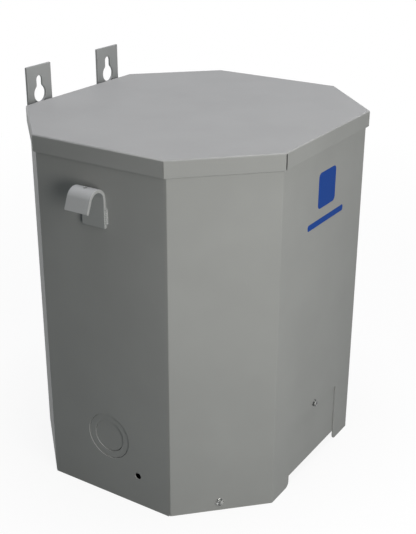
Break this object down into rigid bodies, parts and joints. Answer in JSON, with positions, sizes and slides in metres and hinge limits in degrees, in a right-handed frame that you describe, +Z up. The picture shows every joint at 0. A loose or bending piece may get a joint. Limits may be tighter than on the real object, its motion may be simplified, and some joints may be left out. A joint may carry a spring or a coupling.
{
  "type": "distribution transformer",
  "caption": "Encapsulated distribution transformer in an eight-sided sheet steel case with a flat lid, side lifting hooks, conduit knockouts and keyhole brackets for wall mounting.",
  "frame": {"origin": "centre of the bottom of the whole object's box, level with the case's bottom edge", "axes": "+Z up; -Y out of the front face; +X to the right of someone facing the front"},
  "size_m": [0.482, 0.3936, 0.5145],
  "materials": {
    "case_paint": "light grey satin powder coat on sheet steel",
    "bracket_paint": "light grey satin powder coat on steel strip",
    "zinc_screw": "clear zinc plated steel screws",
    "blue_mark": "plain blue screen-printed mark with no lettering",
    "potting_compound": "dark sand and resin potting compound"
  },
  "bodies": {
    "root": {"front_shell": "case_paint", "rear_shell": "case_paint", "side_panel_left": "case_paint", "side_panel_right": "case_paint", "lid": "case_paint", "bottom_pan": "case_paint", "wiring_cover": "case_paint", "potted_core": "potting_compound", "knockout_ring_left": "case_paint", "knockout_ring_right": "case_paint", "knockout_disc_left": "case_paint", "knockout_disc_right": "case_paint", "lifting_hook_left": "bracket_paint", "lifting_hook_right": "bracket_paint", "wall_bracket_left": "bracket_paint", "wall_bracket_right": "bracket_paint", "lower_standoff_left": "bracket_paint", "lower_standoff_right": "bracket_paint"}
  },
  "joints": []
}
